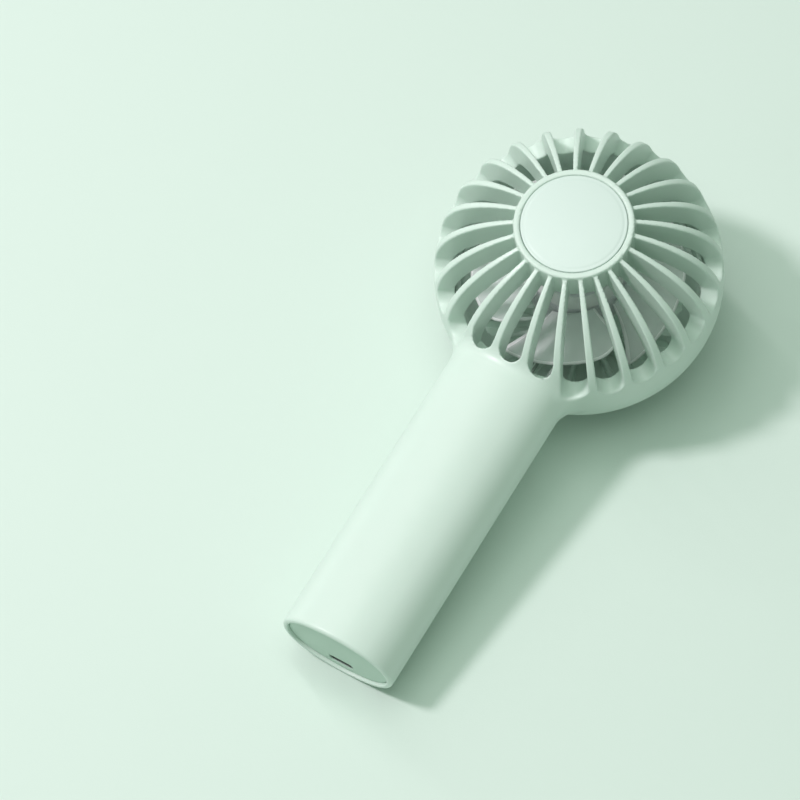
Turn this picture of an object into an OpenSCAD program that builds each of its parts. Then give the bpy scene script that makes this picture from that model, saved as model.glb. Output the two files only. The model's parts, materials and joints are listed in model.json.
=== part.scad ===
/* [Display] */
// Node to show, or all of them

/* [Head] */
// Radius of the round head
head_r = 44; // [43:0.5:46]
// Height of the front dome above the head's middle plane
dome_h = 34.9; // [34.5:0.1:35.5]
// Fullness of the front dome's curve (2 is a plain ellipse)
dome_n = 2.4; // [2.3:0.05:2.6]
// Depth of the back of the head behind the middle plane
back_h = 32.4; // [32:0.1:33]
// Fullness of the curve of the back
back_n = 2.25; // [2.15:0.05:2.4]
// Plane behind the middle where the rear cover starts
seam_z = -15; // [-16:0.5:-14.5]
// Number of air slots round the head
slot_count = 25; // [25:1:25]
// Rib width beside the centre ring
rib_in = 1.4; // [1.2:0.1:1.8]
// Rib width at the edge of the head
rib_out = 2.5; // [2.2:0.1:3]
// Height of the outer end of the front slots
slot_end = 5.2; // [4.5:0.1:6]
// Height of the end of the two slots beside the handle's own slot
slot_end_near = 14.2; // [14:0.1:15]
// Height of the end of the slot above the handle
slot_end_mid = 16.1; // [16:0.1:17]
// Radius of the centre ring
ring_r = 18.1; // [17.6:0.1:18.6]
// Height of the ring's top above the middle plane
ring_top = 34; // [33.6:0.1:34.4]
// Radius of the round front badge
badge_r = 16; // [15.5:0.1:16.2]

/* [Handle] */
// Half width of the handle
grip_a = 18.8; // [18.6:0.1:19.4]
// Half thickness of the handle
grip_b = 14.4; // [14:0.1:14.8]
// Radius of the handle's rounded sides
grip_side_r = 13.4; // [13:0.1:13.6]
// Distance of the handle's end from the head's axis
grip_end = 142.2; // [142:0.1:146]
// Offset of the handle's axis in front of the head's middle plane
grip_z = 1.2; // [1:0.1:1.4]
// Wall of the handle tube
wall = 1.8; // [1.6:0.1:1.8]
// Radius of the blend between handle and head
neck_r = 10; // [8:0.5:12]
// Depth of the base cap below the handle's rim
cap_recess = 1; // [0.8:0.1:1.2]

/* [Impeller and motor] */
// Radius at the blade tips
tip_r = 32.8; // [30:0.1:33]
// Number of blades
blade_count = 5; // [5:1:5]
// Pitch of a blade
blade_pitch = 18; // [16:1:20]
// Thickness of a blade
blade_t = 1.1; // [0.9:0.1:1.3]
// Radius of the impeller's hub
hub_r = 16; // [15.8:0.1:16.4]
// Radius of the motor shaft
shaft_r = 1.25; // [1.25:0.01:1.3]

/* [Button and socket] */
// Radius of the speed button
button_r = 4.7; // [4.2:0.1:4.9]
// Distance of the button from the head's axis
button_y = 56.5; // [56:0.1:57]
// Width of the charging socket
usb_w = 7.6; // [7.4:0.1:7.8]
// Height of the charging socket
usb_h = 2.7; // [2.5:0.1:2.8]

/* [Resting pose] */
// Lean of the head's middle plane when the fan lies on its back
lie_tilt = 8.05; // [7.9:0.05:8.2]

/* [Hidden] */
$fn = 96;
gap = 0.1;
pitch_deg = 360 / slot_count;
fin_core_r = 38.6;
fin_core_h = 24;
rear_core_r = 40.2;
rear_core_h = 27.4;
opening_r = 38.4;
curve_steps = 18;
first_blade = 1;
eps = 0.01;
rear_disc_r = 15.5;
rear_seat = 2.2 - back_h;
rear_cap_r = 13.8;
rear_slot_end = 19.5;
base_top = -7.4;
base_bottom = -9;
cell_r = 9.1;
cell_len = 65;
cell_z = grip_z + 1.6;
cell_y0 = -131.4;
in_a = grip_a - wall;
in_b = grip_b - wall;
tube_end = 45;
back_in = grip_z - in_b;
back_out = grip_z - grip_b;
board_z = grip_z - 7;
flange_z = back_in + 0.75;
flange_t = 0.8;
board_t = 1.2;
lead_pad_z = board_z + board_t + 0.6;
lead_turn = -58.6;
usb_z = grip_z - 9.7;
cap_y = -grip_end + cap_recess;
cap_t = 1.8;
// conjugate exponent, used for the lowest point of the leaning back
dual = back_n / (back_n - 1);
function reach(u, v) = pow(pow(head_r * u, dual) + pow(back_h * v, dual), 1 / dual);
lift_head = reach(sin(lie_tilt), cos(lie_tilt));
lift_grip = grip_end * sin(lie_tilt) - back_out * cos(lie_tilt);
lift = max(lift_head, lift_grip);
top_y = reach(cos(lie_tilt), sin(lie_tilt));
low_y = grip_end * cos(lie_tilt) + (grip_z + grip_b) * sin(lie_tilt);
function unit(v) = v / norm(v);
function dome_at(a, h, n, z) = a * pow(1 - pow(abs(z) / h, n), 1 / n);
function back_z(r) = -back_h * pow(1 - pow(r / head_r, back_n), 1 / back_n);
function rib_w(r) = rib_in + (rib_out - rib_in) * (r - ring_r) / (head_r - ring_r);
function slot_half(r) = (2 * PI * r / slot_count - rib_w(r)) / 2;
function dome_curve(a, h, n, z0) = [
  for (i = [0:curve_steps])
    let (t0 = asin(pow(z0 / h, n / 2)), t = t0 + (90 - t0) * i / curve_steps)
    [a * pow(max(cos(t), 0), 2 / n), h * pow(sin(t), 2 / n)]
];

// ---- shared shapes ----

// lays the upright model on its back, with its lowest points on the ground
module lay() {
  translate([0, (low_y - top_y) / 2, lift])
    rotate([lie_tilt, 0, 0])
      children();
}

// extrudes a section along the handle, from y0 up to y1
module along_y(y0, y1) {
  translate([0, y1, 0])
    rotate([90, 0, 0])
      linear_extrude(y1 - y0)
        children();
}

// four-arc oval, half width a, half thickness b, side radius s
module oval(a, b, s) {
  xs = a - s;
  big = (xs * xs + b * b - s * s) / (2 * (b - s));
  tx = xs * big / (big - s);
  for (k = [-1, 1])
    translate([k * xs, 0])
      circle(s);
  intersection() {
    translate([0, b - big])
      circle(big, $fn = 4 * $fn);
    translate([0, big - b])
      circle(big, $fn = 4 * $fn);
    square([2 * tx, 2 * b + 1], center = true);
  }
}

// handle section shrunk by d
module grip_section(d) {
  translate([0, grip_z])
    oval(grip_a - d, grip_b - d, grip_side_r - d);
}

// turned body from a list of [radius, height] points
module turned(points) {
  rotate_extrude()
    polygon(points);
}

// flat ring
module tube(r0, r1, z0, z1) {
  translate([0, 0, z0])
    difference() {
      cylinder(h = z1 - z0, r = r1);
      translate([0, 0, -1])
        cylinder(h = z1 - z0 + 2, r = r0);
    }
}

// box given by its lower and upper corners
module block(lo, hi) {
  translate(lo)
    cube(hi - lo);
}

// direction of a path at point i, halfway between its two stretches at a bend
function heading(p, i) =
  let (ahead = i < len(p) - 1 ? unit(p[i + 1] - p[i]) : [0, 0, 0],
       behind = i > 0 ? unit(p[i] - p[i - 1]) : [0, 0, 0])
  unit(ahead + behind);

// sideways direction at point i, carried along the path without twist
function sideways(p, i) =
  let (t = heading(p, i), v = i == 0 ? [0.31, 0.17, 0.94] : sideways(p, i - 1))
  unit(v - (v * t) * t);

// route with each corner cut off over a stretch s on both sides
function softened(p, s) = concat(
  [p[0]],
  [for (i = [1:len(p) - 2]) each [p[i] - s * unit(p[i] - p[i - 1]), p[i] + s * unit(p[i + 1] - p[i])]],
  [p[len(p) - 1]]);

// round lead along a route of points
module lead(route, r) {
  path = softened(route, 1.6 * r);
  sides = 10;
  last = len(path) - 1;
  rings = [
    for (i = [0:last])
      let (t = heading(path, i), n = sideways(path, i), b = cross(t, n))
      for (k = [0:sides - 1])
        path[i] + r * (cos(360 * k / sides) * n + sin(360 * k / sides) * b)
  ];
  walls = [
    for (i = [0:last - 1])
      for (k = [0:sides - 1])
        let (j = (k + 1) % sides)
        [i * sides + k, (i + 1) * sides + k, (i + 1) * sides + j, i * sides + j]
  ];
  ends = [[for (k = [0:sides - 1]) k], [for (k = [0:sides - 1]) last * sides + sides - 1 - k]];
  polyhedron(rings, concat(walls, ends));
}

// places children at every slot
module each_slot() {
  for (i = [0:slot_count - 1])
    let (turn = 90 + pitch_deg * (i + 0.5))
    rotate([0, 0, turn])
      children();
}

// round-ended opening between two ribs, cut upward from height z_end
module slot_cut(r0, z_end, h, n) {
  w = slot_half(head_r - 1);
  reach_r = dome_at(head_r, h, n, z_end) + 0.8;
  intersection() {
    translate([0, 0, z_end - 1])
      linear_extrude(dome_h + 4 - z_end)
        polygon([[r0, -slot_half(r0)], [head_r + 3, -slot_half(head_r + 3)],
                 [head_r + 3, slot_half(head_r + 3)], [r0, slot_half(r0)]]);
    rotate([90, 0, 90])
      linear_extrude(reach_r) {
        translate([0, z_end + w])
          circle(w);
        translate([-w, z_end + w])
          square([2 * w, dome_h + 2]);
      }
  }
}

// ---- housing: front dome, head band, neck and handle tube in one piece ----

module head_outer() {
  band = [for (i = [0:5]) let (z = seam_z * (1 - i / 6)) [dome_at(head_r, back_h, back_n, z), z]];
  turned(concat([[0, seam_z]], band, dome_curve(head_r, dome_h, dome_n, 0)));
}

module head_hollow() {
  turned(concat([[0, seam_z - 1], [opening_r, seam_z - 1], [opening_r, 0]],
                dome_curve(fin_core_r, fin_core_h, dome_n, 0)));
}

module neck_section(y) {
  side = grip_a + neck_r;
  foot = sqrt(pow(head_r + neck_r, 2) - side * side);
  grow = neck_r - sqrt(neck_r * neck_r - pow(y + foot, 2));
  translate([0, y, 0])
    rotate([90, 0, 0])
      linear_extrude(eps)
        translate([0, grip_z])
          oval(grip_a + grow, grip_b + 0.2 * grow, grip_side_r + 0.2 * grow, $fn = 32);
}

module neck() {
  side = grip_a + neck_r;
  foot = sqrt(pow(head_r + neck_r, 2) - side * side);
  step = foot * neck_r / (head_r + neck_r) / 4;
  for (i = [0:3])
    hull() {
      neck_section(-foot + i * step);
      neck_section(-foot + (i + 1) * step);
    }
}

module front_slots() {
  for (i = [0:slot_count - 1])
    let (turn = 90 + pitch_deg * (i + 0.5), off = abs(turn - 270) / pitch_deg)
    rotate([0, 0, turn])
      slot_cut(ring_r - 1.2, off < 0.5 ? slot_end_mid : off < 1.5 ? slot_end_near : slot_end,
               dome_h, dome_n);
}

module centre_ring() {
  turned([[badge_r + gap, ring_top - 1.4], [badge_r + gap, ring_top - 0.2], [badge_r + 0.3, ring_top],
          [ring_r - 0.5, ring_top], [ring_r, ring_top - 0.5], [ring_r, fin_core_h - 1],
          [ring_r - 1.6, fin_core_h - 1], [ring_r - 1.6, ring_top - 3], [0, ring_top - 3],
          [0, ring_top - 1.4]]);
}

module housing() {
  color("#b9dcc8")
    difference() {
      union() {
        difference() {
          union() {
            head_outer();
            along_y(-grip_end, -fin_core_r)
              grip_section(0);
            neck();
          }
          head_hollow();
          front_slots();
          cylinder(h = head_r, r = ring_r - 1);
        }
        centre_ring();
      }
      // inside of the handle tube
      along_y(-grip_end - 1, -tube_end)
        grip_section(wall);
      // passage for the motor leads
      along_y(-tube_end - 1, -fin_core_r + 2)
        translate([0, back_in + 2.6])
          circle(2.2);
      // opening for the speed button
      translate([0, -button_y, back_out - 1])
        cylinder(h = wall + 2, r = button_r + 0.3);
      // openings for the indicator lenses
      for (k = [-1:1])
        translate([4 * k, -49.5, back_out - 1])
          cylinder(h = wall + 2, r = 0.8);
      // catches for the base cap
      for (k = [-1, 1])
        translate([k * (in_a + 0.1), -136, grip_z])
          cube([1.2, 2.4, 5.4], center = true);
      // catches for the rear cover
      for (a = [45:90:315])
        rotate([0, 0, a])
          block([opening_r - 1, -3.2, -13.2], [opening_r + 0.8, 3.2, -11.2]);
    }
}

module front_badge() {
  color("#cfe6d8")
    turned([[0, ring_top - 1.4], [badge_r, ring_top - 1.4], [badge_r, ring_top - 0.25],
            [badge_r - 0.3, ring_top], [badge_r * 0.85, ring_top + 0.22],
            [badge_r * 0.6, ring_top + 0.48], [badge_r * 0.3, ring_top + 0.64], [0, ring_top + 0.7]]);
}

// ---- rear cover ----

module rear_shell() {
  outer = [for (p = dome_curve(head_r, back_h, back_n, -seam_z)) [p[0], -p[1]]];
  inner = [for (p = dome_curve(rear_core_r, rear_core_h, back_n, -seam_z)) [p[0], -p[1]]];
  difference() {
    turned(concat([[0, seam_z]], outer));
    turned(concat([[0, seam_z + 1], [inner[0][0], seam_z + 1]], inner));
    mirror([0, 0, 1])
      each_slot()
        slot_cut(rear_disc_r - 1, rear_slot_end, back_h, back_n);
    translate([0, 0, -back_h - 1])
      cylinder(h = back_h, r = rear_disc_r - 0.5);
  }
}

module rear_grille() {
  color("#aed2bd")
    difference() {
      union() {
        rear_shell();
        tube(opening_r - 1.6, opening_r - gap, seam_z, -10.6);
        tube(dome_at(rear_core_r, rear_core_h, back_n, seam_z) - 0.4, opening_r - gap,
             seam_z - 1, seam_z);
        for (a = [45:90:315])
          rotate([0, 0, a])
            intersection() {
              block([opening_r - 1.4, -3, -13], [opening_r + 0.5, 3, -11.4]);
              tube(opening_r - 2, opening_r + 0.5, -14, -11);
            }
        // centre disc and motor pedestal
        turned([[12.6, -26.6], [rear_disc_r, -26.6], [rear_disc_r, back_z(rear_disc_r)],
                [12.6, back_z(12.6)]]);
        tube(12.6, 14.4, -27, -10.6);
        translate([0, 0, -10.6])
          cylinder(h = base_bottom + 10.6, r = 14.4);
      }
      translate([0, 0, -12])
        cylinder(h = 4, r = 3.6);
      for (a = [30:120:270])
        rotate([0, 0, a])
          translate([7.5, 0, -12])
            cylinder(h = 4, r = 1.1);
      // seat of the rear cap
      translate([0, 0, rear_seat - 4])
        cylinder(h = 4, r = rear_cap_r + gap);
    }
}

module rear_cap() {
  seat = rear_seat - gap / 2;
  face = [for (k = [3:-1:0]) let (r = (rear_cap_r - 0.3) * k / 3) [r, gap / 2 + back_z(r)]];
  color("#b9dcc8") {
    turned(concat([[0, seat], [rear_cap_r, seat], [rear_cap_r, 0.25 + back_z(rear_cap_r)]], face));
    tube(11.2, 12.5, seat - 0.1, -28);
  }
}

// ---- impeller ----

// outline of one blade seen from the front, swept from hub to tip
module blade_plan() {
  steps = 10;
  r0 = hub_r - 0.6;
  lead_edge = [for (i = [0:steps]) let (s = i / steps, r = r0 + (tip_r - r0) * s, a = -20 - 16 * s)
    [r * cos(a), r * sin(a)]];
  tip_edge = [for (i = [1:steps]) let (a = -36 + 56 * i / steps) [tip_r * cos(a), tip_r * sin(a)]];
  corner = [for (c = [[0.9, 26], [2.8, 31.5], [5.4, 35.5]]) (tip_r - c[0]) * [cos(c[1]), sin(c[1])]];
  trail_edge = [for (i = [0:steps]) let (s = 1 - i / steps, r = r0 + (tip_r - 8 - r0) * s, a = 30 + 7 * s)
    [r * cos(a), r * sin(a)]];
  polygon(concat(lead_edge, tip_edge, corner, trail_edge));
}

module blade() {
  camber_r = 90;
  intersection() {
    rotate([90, 0, 90])
      linear_extrude(tip_r + 1)
        translate([0, 3.6])
          rotate(blade_pitch)
            translate([0, -camber_r])
              difference() {
                circle(camber_r + blade_t / 2, $fn = 384);
                circle(camber_r - blade_t / 2, $fn = 384);
              }
    translate([0, 0, -5.5])
      linear_extrude(17)
        blade_plan();
  }
}

module impeller() {
  color([0.86, 0.9, 0.93, 0.55]) {
    for (i = [0:blade_count - 1])
      rotate([0, 0, first_blade + 360 / blade_count * i])
        blade();
    turned([[hub_r - 1.3, -6], [hub_r, -6], [hub_r, 7], [hub_r - 0.6, 7.6], [hub_r - 1.6, 7.6],
            [hub_r - 1.6, 9], [3, 9], [3, 9.8], [0, 9.8], [0, 8.6], [shaft_r + 0.4, 8.6],
            [shaft_r + 0.4, 6.5], [13, 6.5], [13, -4], [13.8, -4], [13.8, 5.6], [hub_r - 1.3, 5.6]]);
  }
}

// ---- motor ----

module rotor_can() {
  color("#9a9da0") {
    tube(12.1, 12.9, -5.6, 6.4);
    tube(shaft_r + 0.02, 12.5, 5.6, 6.4);
    tube(shaft_r + 0.02, 2.3, 4.4, 5.8);
  }
}

module rotor_magnet() {
  color("#3d3f42")
    tube(10.7, 12.08, -5.2, 4.8);
}

module motor_shaft() {
  color("#c9ccd0")
    translate([0, 0, -8.4])
      cylinder(h = 16.7, r = shaft_r);
}

module shaft_bearings() {
  color("#b08d4f")
    for (z = [-8.2, 0.2])
      tube(shaft_r + 0.04, 2.45, z, z + 3.4);
}

module bearing_tube() {
  color("#c7a552")
    tube(2.5, 3.4, -10, 3.8);
}

module stator_core() {
  color("#6e7073")
    translate([0, 0, -3.4])
      linear_extrude(6.2)
        difference() {
          union() {
            circle(5.2);
            for (i = [0:5])
              rotate(60 * i)
                translate([0, -1.2])
                  square([9.6, 2.4]);
            difference() {
              circle(10.3);
              circle(9);
              for (i = [0:5])
                rotate(60 * i + 30)
                  translate([0, -0.8])
                    square([12, 1.6]);
            }
          }
          circle(3.42);
        }
}

module stator_coils() {
  color("#b5652d")
    for (i = [0:5])
      rotate([0, 0, 60 * i])
        difference() {
          block([5.7, -2.4, -4.6], [8.7, 2.4, 4]);
          block([5, -1.25, -3.45], [9, 1.25, 2.85]);
        }
}

module motor_base() {
  color("#2f6b4a")
    translate([0, 0, base_bottom])
      difference() {
        linear_extrude(base_top - base_bottom)
          difference() {
            union() {
              circle(13.6);
              translate([-3.5, -17.4])
                square([7, 6]);
            }
            circle(3.45);
          }
        for (a = [30:120:270])
          rotate([0, 0, a])
            translate([7.5, 0, -1])
              cylinder(h = 4, r = 1);
      }
}

module motor_screws() {
  color("#8d9094")
    for (a = [30:120:270])
      rotate([0, 0, a])
        translate([7.5, 0, -12]) {
          cylinder(h = 1.4, r = 1.9);
          cylinder(h = 4.4, r = 0.95);
        }
}

module motor_leads() {
  color("#e8e4da")
    for (k = [-1:1])
      lead([[1.3 * k, -48, board_z - 0.7], [1.3 * k, -46, back_in + 2.6], [1.3 * k, -37, back_in + 2.6],
            [1.3 * k, -34, base_bottom - 0.65], [2 * k, -15, base_bottom - 0.65]], 0.5);
}

// ---- control board and speed button ----

module control_board() {
  color("#2f6b4a")
    difference() {
      block([-12, -64.4, board_z], [12, -46.6, board_z + board_t]);
      for (k = [-1, 1])
        translate([9.5 * k, -62.2, board_z - 1])
          cylinder(h = 4, r = 1.1);
    }
}

module control_chip() {
  color("#2a2b2d")
    block([-7, -56, board_z + board_t], [-2, -51, board_z + board_t + 1.5]);
}

module power_inductor() {
  color("#55585c")
    block([2, -56.5, board_z + board_t], [7, -51.5, board_z + board_t + 2.4]);
}

module speed_switch() {
  color("#303234")
    difference() {
      block([-3, -button_y - 3, board_z - 3.1], [3, -button_y + 3, board_z]);
      translate([0, -button_y, board_z - 4])
        cylinder(h = 2.4, r = 1.78);
    }
}

module switch_plunger() {
  color("#d9d9d2")
    translate([0, -button_y, flange_z + flange_t])
      cylinder(h = board_z - 2.2 - flange_z - flange_t, r = 1.7);
}

module speed_button() {
  color("#c4e2d0")
    translate([0, -button_y, 0]) {
      translate([0, 0, back_out - 0.7])
        cylinder(h = flange_z + flange_t - back_out + 0.7, r = button_r);
      translate([0, 0, flange_z])
        cylinder(h = flange_t, r = button_r + 0.9);
    }
}

module indicator_leds() {
  color("#f3efd8")
    for (k = [-1:1])
      block([4 * k - 0.8, -50.3, board_z - 0.8], [4 * k + 0.8, -48.7, board_z]);
}

module indicator_lenses() {
  color([0.95, 0.97, 0.95, 0.7])
    for (k = [-1:1])
      translate([4 * k, -49.5, back_out + 0.1])
        cylinder(h = board_z - 0.9 - back_out - 0.1, r = 0.75);
}

module board_screws() {
  color("#8d9094")
    for (k = [-1, 1])
      translate([9.5 * k, -62.2, board_z - 1.3]) {
        cylinder(h = 1.3, r = 1.8);
        cylinder(h = 5, r = 0.95);
      }
}

// ---- battery and its frame ----

module frame_ring(y0, y1) {
  along_y(y0, y1)
    difference() {
      grip_section(wall + 0.3);
      translate([0, cell_z])
        circle(5.5);
      for (k = [-1, 1])
        translate([13 * k, grip_z + 2])
          circle(2);
      translate([-20, back_in - 1])
        square([40, 3.2]);
    }
}

module inner_frame() {
  color("#e4e7e2") {
    frame_ring(cell_y0 - 1.6, cell_y0 - 0.4);
    frame_ring(cell_y0 + cell_len + 0.6, cell_y0 + cell_len + 1.8);
    along_y(cell_y0 - 1, -47)
      intersection() {
        difference() {
          grip_section(wall + 0.3);
          grip_section(wall + 1.7);
        }
        translate([0, grip_z])
          square([40, 12], center = true);
      }
    along_y(cell_y0 - 1, cell_y0 + cell_len + 1)
      intersection() {
        translate([0, cell_z])
          difference() {
            circle(cell_r + 1.5);
            circle(cell_r + 0.3);
          }
        translate([0, grip_z])
          square([40, 12], center = true);
      }
    for (k = [-1, 1])
      difference() {
        block([9.5 * k - 1.9, -65.2, board_z + board_t], [9.5 * k + 1.9, -60.2, grip_z + 1]);
        translate([9.5 * k, -62.2, board_z])
          cylinder(h = 6, r = 1);
      }
  }
}

module battery_cell() {
  color("#c9ccd0") {
    along_y(cell_y0, cell_y0 + cell_len - 0.8)
      translate([0, cell_z])
        circle(cell_r);
    along_y(cell_y0 + cell_len - 1, cell_y0 + cell_len)
      translate([0, cell_z])
        circle(3.4);
  }
}

module battery_sleeve() {
  color("#3f6fb5")
    along_y(cell_y0 + 0.3, cell_y0 + cell_len - 1.1)
      translate([0, cell_z])
        difference() {
          circle(cell_r + 0.2);
          circle(cell_r + 0.02);
        }
}

module battery_tabs() {
  color("#d5d8da") {
    block([-2.5, cell_y0 - 0.2, cell_z - 8], [2.5, cell_y0, cell_z + 4]);
    block([-2.5, cell_y0 + cell_len, cell_z - 3], [2.5, cell_y0 + cell_len + 0.2, cell_z + 3]);
  }
}

module battery_lead_positive() {
  color("#b8322c")
    lead([[0, cell_y0 + cell_len + 0.25, cell_z + 1.5], [0.5, -62.5, cell_z + 1],
          [1, -60, lead_pad_z]], 0.5);
}

module battery_lead_negative() {
  color("#26282a")
    lead([[0, cell_y0 - 0.75, cell_z], [-2, cell_y0 - 2.4, cell_z], [-13, cell_y0 - 2.4, grip_z + 2],
          [-13, lead_turn, grip_z + 2], [-9.4, lead_turn + 1.4, lead_pad_z]], 0.5);
}

module charge_leads() {
  color("#d8b13a")
    for (k = [-1, 1])
      let (far = 0.7 * k)
      lead([[5.5, -134.3 + far, usb_z + 0.6], [13, -134.3 + far, grip_z + 2 - far],
            [13, lead_turn - far, grip_z + 2 - far], [9.4, lead_turn + 1.4 - far, lead_pad_z]], 0.5);
}

// ---- charging socket and base cap ----

module charge_board() {
  color("#2f6b4a")
    block([-7, -140, usb_z - 1], [7, -133.6, usb_z]);
}

module charge_chip() {
  color("#2a2b2d")
    block([-6.6, -138, usb_z], [-4.4, -135.4, usb_z + 0.9]);
}

module usb_outline(w, h) {
  polygon([[-w / 2 + 0.7, 0], [w / 2 - 0.7, 0], [w / 2, 0.9], [w / 2, h], [-w / 2, h], [-w / 2, 0.9]]);
}

module usb_socket() {
  color("#b9bcc0")
    difference() {
      along_y(-140.9, -135.3)
        translate([0, usb_z])
          usb_outline(usb_w, usb_h);
      along_y(-141.5, -135.9)
        translate([0, usb_z + 0.3])
          usb_outline(usb_w - 0.6, usb_h - 0.6);
    }
}

module usb_tongue() {
  color("#202224")
    block([-1.9, -140.3, usb_z + 1.2], [1.9, -135.9, usb_z + 1.8]);
}

module base_cap() {
  color("#b4d8c3")
    difference() {
      union() {
        along_y(cap_y, cap_y + cap_t)
          grip_section(wall + gap);
        along_y(cap_y + cap_t - 0.1, -133.6)
          difference() {
            grip_section(wall + gap);
            grip_section(wall + 1.4);
            translate([-8.6, back_in - 1])
              square([17.2, in_b]);
          }
        for (k = [-1, 1]) {
          translate([k * (in_a + 0.05), -136, grip_z])
            cube([0.9, 2, 5], center = true);
          translate([k * 7.9, -137, usb_z - 0.2])
            cube([1.4, 5.2, 2.4], center = true);
        }
      }
      along_y(-grip_end, -139)
        translate([0, usb_z + usb_h / 2])
          square([usb_w + 0.4, usb_h + 0.4], center = true);
      along_y(-140.1, -139)
        translate([0, usb_z - 0.5])
          square([14.2, 1.2], center = true);
    }
}

lay() {
  housing();
  front_badge();
  rear_grille();
  rear_cap();
  impeller();
  rotor_can();
  rotor_magnet();
  motor_shaft();
  shaft_bearings();
  bearing_tube();
  stator_core();
  stator_coils();
  motor_base();
  motor_screws();
  motor_leads();
  control_board();
  control_chip();
  power_inductor();
  speed_switch();
  switch_plunger();
  speed_button();
  indicator_leds();
  indicator_lenses();
  board_screws();
  inner_frame();
  battery_cell();
  battery_sleeve();
  battery_tabs();
  battery_lead_positive();
  battery_lead_negative();
  charge_leads();
  charge_board();
  charge_chip();
  usb_socket();
  usb_tongue();
  base_cap();
}
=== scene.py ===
import json
import math

import bpy
import numpy as np
from mathutils import Matrix, Vector


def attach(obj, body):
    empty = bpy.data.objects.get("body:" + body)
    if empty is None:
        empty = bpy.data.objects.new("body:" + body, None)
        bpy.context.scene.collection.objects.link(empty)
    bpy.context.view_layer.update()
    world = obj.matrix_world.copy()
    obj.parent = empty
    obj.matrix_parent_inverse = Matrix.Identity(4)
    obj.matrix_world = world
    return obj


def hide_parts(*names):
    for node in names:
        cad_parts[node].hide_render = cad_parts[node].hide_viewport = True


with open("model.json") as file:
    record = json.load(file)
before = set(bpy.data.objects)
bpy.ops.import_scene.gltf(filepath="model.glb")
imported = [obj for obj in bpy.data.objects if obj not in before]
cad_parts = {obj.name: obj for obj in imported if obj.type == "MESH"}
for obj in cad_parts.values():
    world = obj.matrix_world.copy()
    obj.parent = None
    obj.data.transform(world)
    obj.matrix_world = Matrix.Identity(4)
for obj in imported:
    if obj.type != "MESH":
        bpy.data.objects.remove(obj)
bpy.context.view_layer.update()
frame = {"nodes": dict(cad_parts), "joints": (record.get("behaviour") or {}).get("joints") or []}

# ---- the fan's own frame: millimetres, X across, Y from the handle to the head's top,
# ---- Z out of the front, with the origin in the middle of the head

SPIN = next(j for j in frame["joints"] if j["name"] == "impeller_spin")
AXIS_Z = Vector(SPIN["axis"]).normalized()
AXIS_X = Vector((1.0, 0.0, 0.0))
AXIS_Y = AXIS_Z.cross(AXIS_X)
HEAD_CENTRE = Vector(SPIN["pos_m"])
TURN = np.array([AXIS_X, AXIS_Y, AXIS_Z])

FIT = 0.1  # clearance between pieces that fit together
HEAD_R = 43.98
FRONT = (34.9, 2.4)  # height and fullness of the front dome
BACK = (32.4, 2.25)  # the same for the back of the head
SEAM_Z = -15.0
CORE_R = 38.6
CORE_H = 24.0
OPENING_R = 38.4
REAR_CORE_R = 40.2
REAR_CORE_H = 27.4

SLOTS = 25
PITCH = 360.0 / SLOTS
RIB_IN = 1.4
RIB_OUT = 2.5
RIB_EDGE = 0.24  # rounding of a rib's edges, as a share of its width
SLOT_END = 5.2
SLOT_END_NEAR = 14.2
SLOT_END_MID = 16.1
POCKET_ENDS = (41.6, 42.4)  # reach of the slot above the handle and of its two neighbours
POCKET_Z = 6.0
REAR_SLOT_END = 19.5
RING_R = 18.1
RING_TOP = 34.0
BADGE_R = 16.0
RING_DEPTH = 3.0
BADGE_FLOOR = 32.6
BADGE_CROWN = 0.7
REAR_SEAT = -30.2
REAR_CAP_R = 13.8
SPIGOT_T = 1.6
SPIGOT_TOP = -10.6
DISC_R = 15.5
DISC_TOP = -26.6
POST_IN = 12.6
POST_R = 14.4
PLATE_TOP = -9.0
PLATE_HOLE = 3.6

GRIP_A = 18.8
GRIP_B = 14.4
GRIP_SIDE = 13.4
GRIP_Z = 1.2
GRIP_END = -142.2
GRIP_TOP = -34.0
GRIP_EDGE = 1.3
WALL = 1.8
NECK_HEIGHTS = (-13.0, -4.0, 4.0, 10.0)  # where the neck's blend has the widths below
NECK_BLENDS = (1.0, 6.2, 6.2, 3.0)
TUBE_TOP = -45.0
CAP_Y = -141.2
CAP_T = 1.8
SKIRT_T = 1.4
SKIRT_END = -133.6
SKIRT_NOTCH = 8.6
GRIP_BACK = GRIP_Z - GRIP_B
INNER_BACK = GRIP_BACK + WALL

BUTTON_Y = -56.5
BUTTON_R = 4.7
BUTTON_HOLE = 5.0
LENS_Y = -49.5
LENS_STEP = 4.0
LENS_HOLE = 0.8
WIRE_Z = INNER_BACK + 2.6
WIRE_HOLE = 2.2
WIRE_Y = -41.0
WIRE_HALF = 5.5

USB_Z = GRIP_Z - 9.7
USB_W = 7.6
USB_H = 2.7
USB_ROOM = 0.2
USB_CORNER = 1.0

TIP_R = 32.8
BLADES = 5
FIRST_BLADE = 1.0
HUB_R = 16.0
BLADE_PITCH = 18.0
CAMBER_R = 90.0
BLADE_T = 1.1
BLADE_LIFT = 3.6
LEAD_ROOT = -20.0  # angles of the blade's edges, in degrees from its axis
LEAD_SWEEP = -16.0
TRAIL_ROOT = 30.0
TRAIL_TIP = 37.0
TRAIL_CORNER = 8.0
LEAD_CORNER = 1.6
BLADE_LOW = -5.5


def to_row(points):
    """Points of the fan's own frame, in millimetres, as metres in the row frame."""
    return (np.asarray(points, float) / 1000.0) @ TURN + np.array(HEAD_CENTRE)


# ---- distance fields, in millimetres, negative inside ----


def smax(a, b, k):
    """Larger of two fields, with the crossing rounded over a width k."""
    h = np.maximum(k - np.abs(a - b), 0.0) / k
    return np.maximum(a, b) + h * h * k / 4.0


def smin(a, b, k):
    return -smax(-a, -b, k)


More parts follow.
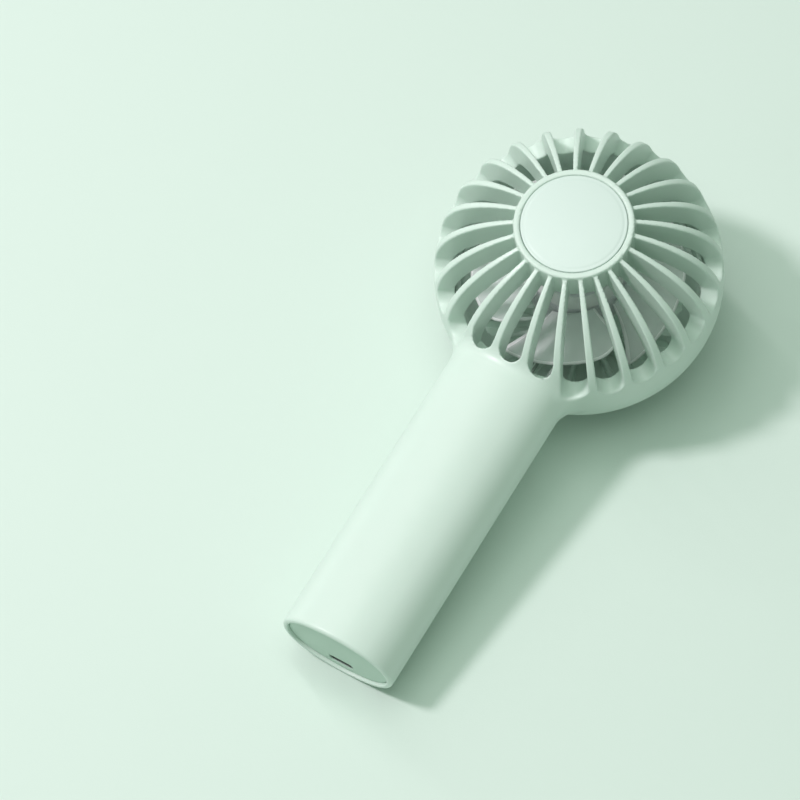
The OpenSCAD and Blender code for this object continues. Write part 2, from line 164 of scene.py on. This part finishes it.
def dome_gap(r, z, radius, height, fullness):
    """Field of a superellipse turned round Z."""
    u = np.maximum(r, 1e-6) / radius
    v = np.maximum(np.abs(z), 1e-6) / height
    g = (u**fullness + v**fullness) ** (1.0 / fullness)
    slope = np.hypot(u ** (fullness - 1.0) / radius, v ** (fullness - 1.0) / height)
    return (g - 1.0) / (slope * g ** (1.0 - fullness))


def back_z(r):
    """Height of the back of the head at a radius."""
    return -BACK[0] * (1.0 - (r / HEAD_R) ** BACK[1]) ** (1.0 / BACK[1])


def box_gap(r, z, r0, r1, z0, z1, k=0.3):
    """Field of a rectangle with corners rounded by k."""
    across = np.abs(r - (r0 + r1) / 2.0) - (r1 - r0) / 2.0 + k
    along = np.abs(z - (z0 + z1) / 2.0) - (z1 - z0) / 2.0 + k
    outside = np.hypot(np.maximum(across, 0.0), np.maximum(along, 0.0))
    return outside + np.minimum(np.maximum(across, along), 0.0) - k


def oval_gap(x, z, shrink):
    """Field of the handle's four-arc section, shrunk by a distance."""
    a, b, s = GRIP_A - shrink, GRIP_B - shrink, GRIP_SIDE - shrink
    x, z = np.abs(x), np.abs(z - GRIP_Z)
    xs = a - s
    big = (xs * xs + b * b - s * s) / (2.0 * (b - s))
    side = np.hypot(x - xs, z) - s
    face = np.hypot(x, z + big - b) - big
    return np.where(x * (big - b) > xs * (z + big - b), side, face)


def rib_w(r):
    return RIB_IN + (RIB_OUT - RIB_IN) * (r - RING_R) / (HEAD_R - RING_R)


def slot_half(r):
    return (2.0 * math.pi * r / SLOTS - rib_w(r)) / 2.0


def slot_gap(x, y, r, height, ends, pocket_ends=None):
    """Field of the air slots: straight sides between two ribs and a round end at a height."""
    phi = np.degrees(np.arctan2(y, x))
    centre = 90.0 + PITCH * (np.floor((phi - 90.0) / PITCH) + 0.5)
    off = np.abs((centre - 270.0 + 180.0) % 360.0 - 180.0) / PITCH
    low = np.where(off < 0.5, ends[0], np.where(off < 1.5, ends[1], ends[2]))
    turn = np.radians(phi - centre)
    along = r * np.cos(turn)
    side = np.abs(r * np.sin(turn))
    w = slot_half(HEAD_R - 1.0)
    below = height - (low + w)
    bowl = np.where(below < 0.0, np.hypot(side, below) - w, side - w)
    if pocket_ends:
        end = np.where(off < 0.5, pocket_ends[0], pocket_ends[1]) - w
        beyond = along - end
        round_end = np.where(beyond > 0.0, np.hypot(side, beyond) - w, side - w)
        bowl = np.where(off < 1.5, smax(round_end, POCKET_Z - height, 0.4), bowl)
    return smax(side - slot_half(along), bowl, 0.4)


def housing_gap(x, y, z):
    """Front dome with its slots and ring, head band, neck and handle tube."""
    r = np.hypot(x, y)
    grip = smax(oval_gap(x, z, 0.0), GRIP_END - y, GRIP_EDGE)
    grip = np.maximum(grip, y - GRIP_TOP)
    head = np.where(z > 0.0, dome_gap(r, z, HEAD_R, *FRONT), dome_gap(r, z, HEAD_R, *BACK))
    body = smin(head, grip, np.interp(z, NECK_HEIGHTS, NECK_BLENDS))
    cavity = np.maximum(dome_gap(r, np.maximum(z, 0.0), CORE_R, CORE_H, FRONT[1]), r - OPENING_R)
    body = smax(body, -cavity, 0.4)
    slots = slot_gap(x, y, r, z, (SLOT_END_MID, SLOT_END_NEAR, SLOT_END), POCKET_ENDS)
    body = smax(body, -slots, RIB_EDGE * rib_w(np.clip(r, RING_R, HEAD_R)))
    body = np.maximum(body, np.where(z > 0.0, RING_R - 1.0 - r, -9.0))
    ring = box_gap(r, z, BADGE_R + FIT, RING_R, CORE_H - 1.0, RING_TOP, 0.4)
    floor = box_gap(r, z, -2.0, RING_R - 0.8, RING_TOP - RING_DEPTH, BADGE_FLOOR, 0.2)
    body = smin(body, np.minimum(ring, floor), 0.5)
    body = smax(body, SEAM_Z - z, 0.5)
    tube = np.maximum(oval_gap(x, z, WALL), y - TUBE_TOP)
    body = smax(body, -tube, 0.5)
    wire = np.maximum(np.hypot(x, z - WIRE_Z) - WIRE_HOLE, np.abs(y - WIRE_Y) - WIRE_HALF)
    button = np.maximum(np.hypot(x, y - BUTTON_Y) - BUTTON_HOLE, z + 5.0)
    lens_x = x - LENS_STEP * np.clip(np.round(x / LENS_STEP), -1.0, 1.0)
    lens = np.maximum(np.hypot(lens_x, y - LENS_Y) - LENS_HOLE, z + 5.0)
    body = np.maximum(body, -wire)
    return smax(body, -np.minimum(button, lens), 0.35)


def rear_gap(x, y, z):
    """Rear cover with its slots, spigot, centre disc and motor pedestal."""
    r = np.hypot(x, y)
    dome = dome_gap(r, z, HEAD_R, *BACK)
    body = smax(dome, z - SEAM_Z, 0.5)
    body = smax(body, -dome_gap(r, z, REAR_CORE_R, REAR_CORE_H, BACK[1]), 0.4)
    slots = slot_gap(x, y, r, -z, (REAR_SLOT_END,) * 3)
    body = smax(body, -slots, RIB_EDGE * rib_w(np.clip(r, RING_R, HEAD_R)))
    body = np.maximum(body, 14.9 - r)
    spigot = box_gap(r, z, OPENING_R - SPIGOT_T, OPENING_R - FIT, SEAM_Z - 1.0, SPIGOT_TOP)
    disc = smax(box_gap(r, z, POST_IN, DISC_R, -BACK[0], DISC_TOP), dome, 0.35)
    post = box_gap(r, z, POST_IN, POST_R, DISC_TOP - 0.4, PLATE_TOP - 0.1)
    plate = box_gap(r, z, PLATE_HOLE, POST_R, SPIGOT_TOP, PLATE_TOP)
    body = np.minimum(smin(body, disc, 0.5), np.minimum(spigot, np.minimum(post, plate)))
    seat = np.maximum(r - REAR_CAP_R - FIT, z - REAR_SEAT)
    return smax(body, -seat, 0.3)


def cap_gap(x, y, z):
    """Plate that closes the handle, with its skirt and the opening of the socket."""
    outer = oval_gap(x, z, WALL + FIT)
    plate = smax(smax(outer, CAP_Y - y, 0.5), y - CAP_Y - CAP_T, 0.3)
    skirt = np.maximum(np.maximum(outer, -oval_gap(x, z, WALL + SKIRT_T)),
                       np.maximum(CAP_Y + 1.0 - y, y - SKIRT_END))
    skirt = np.maximum(skirt, -np.maximum(np.abs(x) - SKIRT_NOTCH, z))
    body = np.minimum(plate, skirt)
    middle = USB_Z + USB_H / 2.0
    port = box_gap(x, z, -USB_W / 2.0 - USB_ROOM, USB_W / 2.0 + USB_ROOM,
                   middle - USB_H / 2.0 - USB_ROOM, middle + USB_H / 2.0 + USB_ROOM, USB_CORNER)
    return smax(body, -port, 0.4)


# ---- meshes ----


def stretches(*parts):
    """Grid lines from (start, end, step) stretches."""
    lines = [np.arange(a, b - step * 0.5, step) for a, b, step in parts]
    return np.concatenate([*lines, [parts[-1][1]]])


def gradient(gap, p, h=0.04):
    g = np.empty_like(p)
    for k in range(3):
        step = np.zeros(3)
        step[k] = h
        g[:, k] = (gap(*(p + step).T) - gap(*(p - step).T)) / (2.0 * h)
    return g


def field_mesh(gap, lines, polish=3):
    """Quads on the zero surface of a field, by one vertex per crossed grid cell."""
    f = gap(*np.meshgrid(*lines, indexing="ij"))
    cells = np.array(f.shape) - 1
    ids, quads, spots = [], [], []
    for axis in range(3):
        u, v = (axis + 1) % 3, (axis + 2) % 3
        lower, upper = [slice(None)] * 3, [slice(None)] * 3
        lower[axis], upper[axis] = slice(None, -1), slice(1, None)
        fa, fb = f[tuple(lower)], f[tuple(upper)]
        edge = np.argwhere((fa < 0.0) != (fb < 0.0))
        va, vb = fa[tuple(edge.T)], fb[tuple(edge.T)]
        share = va / (va - vb)
        spot = np.stack([lines[k][edge[:, k]] for k in range(3)], axis=1)
        span = lines[axis][edge[:, axis] + 1] - lines[axis][edge[:, axis]]
        spot[:, axis] += share * span
        around = []
        for du, dv in ((-1, -1), (0, -1), (0, 0), (-1, 0)):
            cell = edge.copy()
            cell[:, u] += du
            cell[:, v] += dv
            around.append((cell[:, 0] * cells[1] + cell[:, 1]) * cells[2] + cell[:, 2])
        around = np.stack(around, axis=1)
        quads.append(np.where((va < 0.0)[:, None], around, around[:, ::-1]))
        ids.append(around.ravel())
        spots.append(np.repeat(spot, 4, axis=0))
    ids, spots = np.concatenate(ids), np.concatenate(spots)
    used, index = np.unique(ids, return_inverse=True)
    count = np.bincount(index)
    points = np.stack([np.bincount(index, spots[:, k]) / count for k in range(3)], axis=1)
    faces = np.searchsorted(used, np.concatenate(quads))
    for _ in range(polish):
        g = gradient(gap, points)
        step = gap(*points.T) / np.maximum((g * g).sum(1), 0.05)
        points -= np.clip(step, -0.3, 0.3)[:, None] * g
    normals = gradient(gap, points)
    normals /= np.maximum(np.linalg.norm(normals, axis=1), 1e-9)[:, None]
    return points, faces, normals


def add_piece(name, points, faces, body, stands_for, materials, normals=None, marks=None):
    """Makes one piece from points of the fan's frame and puts it on its body."""
    mesh = bpy.data.meshes.new(name)
    points = to_row(points)
    if isinstance(faces, np.ndarray):
        mesh.vertices.add(len(points))
        mesh.vertices.foreach_set("co", points.astype(np.float32).ravel())
        mesh.loops.add(faces.size)
        mesh.loops.foreach_set("vertex_index", faces.astype(np.int32).ravel())
        mesh.polygons.add(len(faces))
        starts = np.arange(0, faces.size, faces.shape[1], dtype=np.int32)
        mesh.polygons.foreach_set("loop_start", starts)
        mesh.update(calc_edges=True)
    else:
        mesh.from_pydata(points.tolist(), [], faces)
    mesh.validate()
    for material in materials:
        mesh.materials.append(material)
    mesh.polygons.foreach_set("use_smooth", [True] * len(mesh.polygons))
    if marks is not None:
        mesh.polygons.foreach_set("material_index", marks)
    if normals is not None:
        mesh.normals_split_custom_set_from_vertices((normals @ TURN).tolist())
    piece = bpy.data.objects.new(name, mesh)
    bpy.context.scene.collection.objects.link(piece)
    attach(piece, body)
    if stands_for:
        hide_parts(*stands_for)
    return piece


def rounded(profile, radius, steps=4):
    """A closed [r, z] outline with its corners off the axis rounded."""
    out = []
    for i, here in enumerate(profile):
        here, before, after = (np.array(p, float) for p in
                               (here, profile[i - 1], profile[(i + 1) % len(profile)]))
        if here[0] < 1e-6:
            out.append(here)
            continue
        ahead, behind = after - here, before - here
        reach = min(radius, 0.45 * np.linalg.norm(ahead), 0.45 * np.linalg.norm(behind))
        a = here + behind / np.linalg.norm(behind) * reach
        b = here + ahead / np.linalg.norm(ahead) * reach
        for k in range(steps + 1):
            t = k / steps
            out.append((1 - t) ** 2 * a + 2 * t * (1 - t) * here + t * t * b)
    return np.array(out)


def turned(profile, centre=(0.0, 0.0), segments=160):
    """Points and faces of a closed [r, z] outline turned round Z at a centre."""
    angle = np.arange(segments) * 2.0 * math.pi / segments
    ring = np.stack([np.cos(angle), np.sin(angle)], axis=1)
    points, starts = [], []
    for r, z in profile:
        starts.append(len(points))
        if r < 1e-6:
            points.append((centre[0], centre[1], z))
        else:
            points.extend((centre[0] + r * c, centre[1] + r * s, z) for c, s in ring)
    faces = []
    for i, (r, _) in enumerate(profile):
        j = (i + 1) % len(profile)
        s = profile[j][0]
        for k in range(segments):
            m = (k + 1) % segments
            a, b = starts[i] + k, starts[i] + m
            c, d = starts[j] + m, starts[j] + k
            if r < 1e-6 and s < 1e-6:
                continue
            if r < 1e-6:
                faces.append((starts[i], c, d))
            elif s < 1e-6:
                faces.append((a, b, starts[j]))
            else:
                faces.append((a, b, c, d))
    return np.array(points), faces


def blade_sheet():
    """Points, faces and edge marks of one blade that reaches out along +X."""
    near = np.array([0.0, 0.004, 0.012, 0.025, 0.045])
    across = np.concatenate([near, np.linspace(0.07, 0.93, 26), 1.0 - near[::-1]])
    outward = np.concatenate([np.linspace(0.0, 0.92, 22), 1.0 - near[::-1]])
    root = HUB_R - 0.4
    u, v = np.meshgrid(across, outward, indexing="ij")

    def corner(t, width, drop):
        s = 1.0 - np.clip(t / width, 0.0, 1.0)
        return drop * (1.0 - np.sqrt(np.maximum(1.0 - s * s, 0.0)))

    tip = TIP_R - corner(u, 0.07, LEAD_CORNER) - corner(1.0 - u, 0.25, TRAIL_CORNER)
    r = root + (tip - root) * v
    share = (r - root) / (TIP_R - root)
    centre_y = CAMBER_R * math.sin(math.radians(BLADE_PITCH))
    centre_z = BLADE_LIFT - CAMBER_R * math.cos(math.radians(BLADE_PITCH))
    low_y = centre_y - math.sqrt(CAMBER_R**2 - (BLADE_LOW + 0.5 - centre_z) ** 2)
    lowest = np.degrees(np.arcsin(np.maximum(low_y / r, -1.0)))
    lead = np.maximum(LEAD_ROOT + LEAD_SWEEP * share, lowest)
    grown = np.minimum((r - root) / (TIP_R - TRAIL_CORNER - root), 1.0)
    trail = TRAIL_ROOT + (TRAIL_TIP - TRAIL_ROOT) * grown
    angle = np.radians(lead + (trail - lead) * u)
    x, y = r * np.cos(angle), r * np.sin(angle)
    z = centre_z + np.sqrt(CAMBER_R**2 - (y - centre_y) ** 2)
    normal = np.stack([np.zeros_like(y), y - centre_y, z - centre_z], axis=-1) / CAMBER_R
    middle = np.stack([x, y, z], axis=-1)
    chord = np.radians(trail - lead) * r
    rim = np.minimum(np.minimum(u, 1.0 - u) * chord, (1.0 - v) * (tip - root))
    s = 1.0 - np.clip(rim / (BLADE_T * 0.5), 0.0, 1.0)
    half = BLADE_T / 2.0 * np.sqrt(1.0 - s * s)[..., None]
    n, m = u.shape
    points = np.concatenate([(middle + normal * half).reshape(-1, 3),
                             (middle - normal * half).reshape(-1, 3)])
    i, j = (g.ravel() for g in np.meshgrid(np.arange(n - 1), np.arange(m - 1), indexing="ij"))
    top = np.stack([i * m + j, (i + 1) * m + j, (i + 1) * m + j + 1, i * m + j + 1], axis=1)
    edge = (i < 4) | (i > n - 6) | (j > m - 6)
    return points, np.concatenate([top, top[:, ::-1] + n * m]), np.tile(edge, 2)


# ---- materials ----


def new_material(name):
    material = bpy.data.materials.new(name)
    material.use_nodes = True
    nodes, links = material.node_tree.nodes, material.node_tree.links
    shader = nodes["Principled BSDF"]
    place = nodes.new("ShaderNodeTexCoord").outputs["Object"]
    return material, nodes, links, shader, place


def noise(nodes, links, place, scale, detail=3.0, stretch=None):
    if stretch:
        mapping = nodes.new("ShaderNodeMapping")
        mapping.inputs["Scale"].default_value = stretch
        links.new(place, mapping.inputs["Vector"])
        place = mapping.outputs["Vector"]
    texture = nodes.new("ShaderNodeTexNoise")
    texture.inputs["Scale"].default_value = scale
    texture.inputs["Detail"].default_value = detail
    links.new(place, texture.inputs["Vector"])
    return texture.outputs["Fac"]


def ramp(nodes, links, value, low, high):
    """Maps a noise value to a range."""
    node = nodes.new("ShaderNodeMapRange")
    node.inputs["From Min"].default_value = 0.3
    node.inputs["From Max"].default_value = 0.7
    node.inputs["To Min"].default_value = low
    node.inputs["To Max"].default_value = high
    links.new(value, node.inputs["Value"])
    return node.outputs["Result"]


def tint(nodes, links, value, colour, change):
    """Mixes two shades of a colour by a noise value."""
    mix = nodes.new("ShaderNodeMix")
    mix.data_type = "RGBA"
    light = [min(c * (1.0 + change), 1.0) for c in colour]
    dark = [c * (1.0 - change) for c in colour]
    mix.inputs["A"].default_value = (*dark, 1.0)
    mix.inputs["B"].default_value = (*light, 1.0)
    links.new(value, mix.inputs["Factor"])
    return mix.outputs["Result"]


def bump(nodes, links, value, depth, shader, strength=1.0):
    node = nodes.new("ShaderNodeBump")
    node.inputs["Strength"].default_value = strength
    node.inputs["Distance"].default_value = depth
    links.new(value, node.inputs["Height"])
    links.new(node.outputs["Normal"], shader.inputs["Normal"])


def moulded(name, colour, rough, grain=0.00002, grain_scale=2200.0, change=0.03, glow=0.0):
    """Moulded plastic with a spark-eroded grain, slight mottling and uneven gloss."""
    material, nodes, links, shader, place = new_material(name)
    mottling = noise(nodes, links, place, 45.0)
    links.new(tint(nodes, links, mottling, colour, change), shader.inputs["Base Color"])
    gloss = noise(nodes, links, place, 260.0, 4.0)
    links.new(ramp(nodes, links, gloss, rough - 0.04, rough + 0.05), shader.inputs["Roughness"])
    bump(nodes, links, noise(nodes, links, place, grain_scale, 2.0), grain, shader)
    shader.inputs["IOR"].default_value = 1.48
    if glow:
        shader.inputs["Subsurface Weight"].default_value = glow
        shader.inputs["Subsurface Radius"].default_value = (0.8, 1.0, 0.9)
        shader.inputs["Subsurface Scale"].default_value = 0.0015
    return material


def metal(name, colour, rough, stretch=(1.0, 1.0, 14.0), scale=500.0):
    """Drawn or turned metal with fine streaks and faint stains."""
    material, nodes, links, shader, place = new_material(name)
    streaks = noise(nodes, links, place, scale, 4.0, stretch)
    stains = noise(nodes, links, place, 180.0)
    links.new(tint(nodes, links, stains, colour, 0.08), shader.inputs["Base Color"])
    links.new(ramp(nodes, links, streaks, rough * 0.75, rough * 1.3), shader.inputs["Roughness"])
    bump(nodes, links, streaks, 0.00001, shader)
    shader.inputs["Metallic"].default_value = 1.0
    return material


def frosted(name, colour, alpha_face, alpha_edge, rough, glow=0.0):
    """Clear plastic with a frosted face, denser where the surface turns away."""
    material, nodes, links, shader, place = new_material(name)
    haze = noise(nodes, links, place, 120.0)
    links.new(tint(nodes, links, haze, colour, 0.04), shader.inputs["Base Color"])
    fine = noise(nodes, links, place, 1500.0, 2.0)
    links.new(ramp(nodes, links, fine, rough - 0.04, rough + 0.06), shader.inputs["Roughness"])
    bump(nodes, links, fine, 0.00001, shader)
    facing = nodes.new("ShaderNodeLayerWeight")
    facing.inputs["Blend"].default_value = 0.45
    see = nodes.new("ShaderNodeMapRange")
    see.inputs["To Min"].default_value = alpha_face
    see.inputs["To Max"].default_value = alpha_edge
    links.new(facing.outputs["Facing"], see.inputs["Value"])
    links.new(see.outputs["Result"], shader.inputs["Alpha"])
    shader.inputs["IOR"].default_value = 1.5
    if glow:
        shader.inputs["Subsurface Weight"].default_value = glow
        shader.inputs["Subsurface Radius"].default_value = (1.0, 1.0, 1.0)
        shader.inputs["Subsurface Scale"].default_value = 0.004
    return material


MINT = (0.645, 0.765, 0.69)
mint_shell = moulded("mint_shell", MINT, 0.36, glow=0.12)
mint_badge = moulded("mint_badge", (0.655, 0.765, 0.712), 0.34, grain=0.000008, change=0.015)
mint_cover = moulded("mint_cover", MINT, 0.42, glow=0.12)
# the cap's colour is darker than the shell's: painted shade on the handle's end face
mint_cap = moulded("mint_cap", (0.50, 0.66, 0.56), 0.46, grain=0.00003)
mint_button = moulded("mint_button", (0.65, 0.78, 0.70), 0.34, grain=0.00001)
blade_face = frosted("clear_blade", (0.88, 0.95, 0.92), 0.62, 0.97, 0.14, 0.6)
blade_rim = frosted("clear_blade_rim", (0.98, 0.99, 1.0), 0.95, 1.0, 0.3, 0.8)
blade_hub = frosted("clear_hub", (0.92, 0.90, 0.97), 0.90, 0.98, 0.25, 0.4)

# ---- pieces ----

HEAD_LINES = [
    stretches((-45.0, -5.4, 0.6), (-5.4, 5.4, 0.4), (5.4, 45.0, 0.6)),
    stretches((-143.2, -138.8, 0.4), (-138.8, -62.8, 2.0), (-62.8, 45.2, 0.6)),
    stretches((-15.7, -9.1, 0.6), (-9.1, 34.7, 0.6)),
]
REAR_LINES = [np.arange(-45.0, 45.3, 0.6), np.arange(-45.0, 45.3, 0.6),
              np.arange(-33.1, -9.7, 0.6)]
CAP_LINES = [
    np.arange(-17.6, 17.7, 0.4),
    stretches((-142.0, -138.8, 0.3), (-138.8, -132.8, 1.0)),
    np.arange(-12.2, 14.7, 0.4),
]


def field_piece(name, gap, lines, stands_for, material):
    points, faces, normals = field_mesh(gap, lines)
    return add_piece(name, points, faces, "fan", [stands_for], [material], normals)


def turned_piece(name, outline, body, stands_for, material, centre=(0.0, 0.0)):
    points, faces = turned(outline, centre)
    piece = add_piece(name, points, faces, body, [stands_for], [material])
    piece.data.set_sharp_from_angle(angle=math.radians(40.0))
    return piece


field_piece("housing_shell", housing_gap, HEAD_LINES, "housing", mint_shell)
field_piece("rear_cover", rear_gap, REAR_LINES, "rear_grille", mint_cover)
field_piece("handle_cap", cap_gap, CAP_LINES, "base_cap", mint_cap)

badge_side = rounded([(0.0, BADGE_FLOOR), (BADGE_R, BADGE_FLOOR), (BADGE_R, RING_TOP),
                      (BADGE_R - 1.2, RING_TOP + 0.02)], 0.35)
crown = [(BADGE_R * math.cos(a), RING_TOP + BADGE_CROWN * math.sin(a) ** 1.6)
         for a in np.linspace(0.42, math.pi / 2.0, 22)]
crown[-1] = (0.0, RING_TOP + BADGE_CROWN)
turned_piece("badge", np.concatenate([badge_side[:-3], crown]), "fan",
             "front_badge", mint_badge)

cap_back = [(r, back_z(r) + 0.05) for r in np.linspace(REAR_CAP_R - 0.7, 0.0, 14)]
turned_piece("rear_cap_disc", np.concatenate([rounded([
    (0.0, REAR_SEAT - 0.05), (11.2, REAR_SEAT - 0.05), (11.2, -28.0), (12.5, -28.0),
    (12.5, REAR_SEAT - 0.05), (REAR_CAP_R, REAR_SEAT - 0.05),
    (REAR_CAP_R, back_z(REAR_CAP_R) + 0.1), cap_back[0]], 0.3)[:-5], cap_back]),
    "fan", "rear_cap", mint_cover)

FLANGE_Z = INNER_BACK + 0.75
FLANGE_T = 0.8
turned_piece("push_button", rounded([
    (0.0, FLANGE_Z + FLANGE_T), (BUTTON_R + 0.9, FLANGE_Z + FLANGE_T),
    (BUTTON_R + 0.9, FLANGE_Z), (BUTTON_R, FLANGE_Z), (BUTTON_R, GRIP_BACK - 0.7),
    (BUTTON_R - 1.1, GRIP_BACK - 0.7), (BUTTON_R - 1.7, GRIP_BACK - 0.35),
    (0.0, GRIP_BACK - 0.25)], 0.5), "button", "speed_button", mint_button,
    (0.0, BUTTON_Y))

points, faces, edge = blade_sheet()
count = len(points)
all_points, all_faces = [], []
for k in range(BLADES):
    angle = math.radians(FIRST_BLADE + 360.0 / BLADES * k)
    c, s = math.cos(angle), math.sin(angle)
    all_points.append(points @ np.array([[c, s, 0.0], [-s, c, 0.0], [0.0, 0.0, 1.0]]))
    all_faces.append(faces + count * k)
add_piece("blades", np.concatenate(all_points), np.concatenate(all_faces), "rotor",
          [], [blade_face, blade_rim], None,
          np.tile(edge, BLADES).astype(np.int32))
# the hub's outline: wall with a step at its foot, top with the shaft's boss, groove of the can
HUB_OUTLINE = [
    (HUB_R - 1.3, -6.0), (HUB_R, -6.0), (HUB_R, -5.2), (HUB_R - 0.5, -4.9),
    (HUB_R - 0.5, -4.0), (HUB_R - 0.8, -3.7), (HUB_R - 1.2, 6.0), (HUB_R - 2.4, 7.9),
    (HUB_R - 3.4, 9.0), (3.0, 9.0), (3.0, 9.8), (0.0, 9.8), (0.0, 8.6), (1.65, 8.6),
    (1.65, 6.5), (13.0, 6.5), (13.0, -4.0), (13.8, -4.0), (13.8, 5.6),
    (HUB_R - 1.5, 5.2), (HUB_R - 1.5, -4.0)]
HUB_BRIGHT = (-4.0, 5.8)  # the wall is pale below and above these heights
hub = turned_piece("impeller_hub", rounded(HUB_OUTLINE, 0.3), "rotor",
                   "impeller", blade_hub)
hub.data.materials.append(blade_rim)
for face in hub.data.polygons:
    spot = TURN @ (np.array(face.center) - np.array(HEAD_CENTRE)) * 1000.0
    pale = spot[2] < HUB_BRIGHT[0] or spot[2] > HUB_BRIGHT[1]
    if pale and math.hypot(spot[0], spot[1]) > HUB_R - 4.0:
        face.material_index = 1

# the CAD nodes that stay, each with its own finish
FINISHES = {
    "rotor_can": metal("can_steel", (0.50, 0.50, 0.51), 0.32),
    "rotor_magnet": moulded("magnet", (0.045, 0.047, 0.05), 0.55),
    "motor_shaft": metal("shaft_steel", (0.62, 0.63, 0.64), 0.18),
    "shaft_bearings": metal("bearing_bronze", (0.55, 0.36, 0.16), 0.38),
    "bearing_tube": metal("tube_brass", (0.66, 0.48, 0.20), 0.28),
    "stator_core": metal("lamination", (0.24, 0.25, 0.26), 0.45, (1.0, 1.0, 60.0)),
    "stator_coils": metal("copper_wire", (0.70, 0.30, 0.12), 0.30, (1.0, 1.0, 40.0), 900.0),
    "motor_base": moulded("board_green", (0.035, 0.16, 0.08), 0.35, change=0.12),
    "motor_screws": metal("screw_steel", (0.40, 0.41, 0.42), 0.35),
    "motor_leads": moulded("lead_grey", (0.34, 0.40, 0.36), 0.45),
    "control_chip": moulded("chip_black", (0.02, 0.02, 0.022), 0.5),
    "power_inductor": moulded("ferrite", (0.09, 0.095, 0.10), 0.65, change=0.1),
    "speed_switch": moulded("switch_black", (0.03, 0.03, 0.032), 0.45),
    "switch_plunger": moulded("plunger_white", (0.66, 0.66, 0.62), 0.4),
    "indicator_leds": moulded("led_yellow", (0.75, 0.70, 0.42), 0.3),
    "indicator_lenses": frosted("lens_clear", (0.86, 0.90, 0.87), 0.55, 0.9, 0.16),
    "inner_frame": moulded("frame_white", (0.72, 0.75, 0.70), 0.5),
    "battery_cell": metal("cell_steel", (0.56, 0.57, 0.58), 0.3),
    "battery_sleeve": moulded("cell_wrap", (0.05, 0.14, 0.42), 0.28, change=0.05),
    "battery_tabs": metal("nickel", (0.62, 0.61, 0.58), 0.33),
    "battery_lead_positive": moulded("lead_red", (0.45, 0.03, 0.02), 0.45),
    "battery_lead_negative": moulded("lead_black", (0.02, 0.02, 0.022), 0.45),
    "charge_leads": moulded("lead_yellow", (0.62, 0.42, 0.05), 0.45),
    # dark greenish steel: painted shade inside the socket's opening
    "usb_socket": metal("socket_steel", (0.26, 0.30, 0.28), 0.45),
    "usb_tongue": moulded("tongue_black", (0.015, 0.015, 0.016), 0.5),
}
SHARED = {
    "board_screws": "motor_screws",
    "control_board": "motor_base",
    "charge_board": "motor_base",
    "charge_chip": "control_chip",
}
for node, piece in frame["nodes"].items():
    finish = FINISHES.get(SHARED.get(node, node))
    if finish is not None:
        for slot in piece.material_slots:
            slot.material = finish

# ---- floor, light and camera ----

FLOOR_SIZE = 6.0
floor_mesh = bpy.data.meshes.new("floor")
corners = [(-FLOOR_SIZE, -FLOOR_SIZE, 0.0), (FLOOR_SIZE, -FLOOR_SIZE, 0.0),
           (FLOOR_SIZE, FLOOR_SIZE, 0.0), (-FLOOR_SIZE, FLOOR_SIZE, 0.0)]
floor_mesh.from_pydata(corners, [], [(0, 1, 2, 3)])
floor_mesh.materials.append(moulded("floor_paper", (0.675, 0.785, 0.717), 0.85, change=0.004))
floor = bpy.data.objects.new("floor", floor_mesh)
bpy.context.scene.collection.objects.link(floor)

CAMERA_AIM = Vector((-0.0338, -0.0001, 0.0))
CAMERA_AZIMUTH = 32.098
CAMERA_ELEVATION = 59.075
CAMERA_ROLL = -0.987
CAMERA_DISTANCE = 1.3812


def direction(azimuth, elevation):
    """Unit vector towards a place round the object; azimuth 0 is -Y and 90 is +X."""
    a, e = math.radians(azimuth), math.radians(elevation)
    return Vector((math.sin(a) * math.cos(e), -math.cos(a) * math.cos(e), math.sin(e)))


def area_light(name, azimuth, elevation, distance, size, power, colour):
    data = bpy.data.lights.new(name, "AREA")
    data.shape = "RECTANGLE"
    data.size, data.size_y = size
    data.energy = power
    data.color = colour
    light = bpy.data.objects.new(name, data)
    away = direction(azimuth, elevation)
    light.location = away * distance
    light.rotation_mode = "QUATERNION"
    light.rotation_quaternion = (-away).to_track_quat("-Z", "Y")
    bpy.context.scene.collection.objects.link(light)
    return light


area_light("key", -60.0, 55.0, 1.8, (0.24, 0.24), 16.8, (1.0, 0.89, 0.97))
area_light("rim", -100.0, 16.0, 1.2, (0.05, 0.9), 1.2, (1.0, 1.0, 1.0))
area_light("overhead", -20.0, 82.0, 1.6, (1.2, 1.2), 8.2, (0.88, 1.0, 0.91))
area_light("sheen", -113.0, 60.0, 1.4, (0.07, 1.2), 2.8, (1.0, 0.95, 0.98))

world = bpy.data.worlds.new("studio")
world.use_nodes = True
background = world.node_tree.nodes["Background"]
background.inputs["Color"].default_value = (0.76, 0.97, 0.82, 1.0)
background.inputs["Strength"].default_value = 0.31
bpy.context.scene.world = world
bpy.context.scene.view_settings.view_transform = "Standard"

camera_data = bpy.data.cameras.new("camera")
camera_data.lens = 202.5
camera_data.sensor_width = 36.0
camera_data.clip_start = 0.01
camera_data.clip_end = 20.0
camera = bpy.data.objects.new("camera", camera_data)
back = direction(CAMERA_AZIMUTH, CAMERA_ELEVATION)
camera.location = CAMERA_AIM + back * CAMERA_DISTANCE
camera.rotation_mode = "QUATERNION"
level = (-back).to_track_quat("-Z", "Y")
roll = Matrix.Rotation(math.radians(CAMERA_ROLL), 3, "Z").to_quaternion()
camera.rotation_quaternion = level @ roll
bpy.context.scene.collection.objects.link(camera)
bpy.context.scene.camera = camera
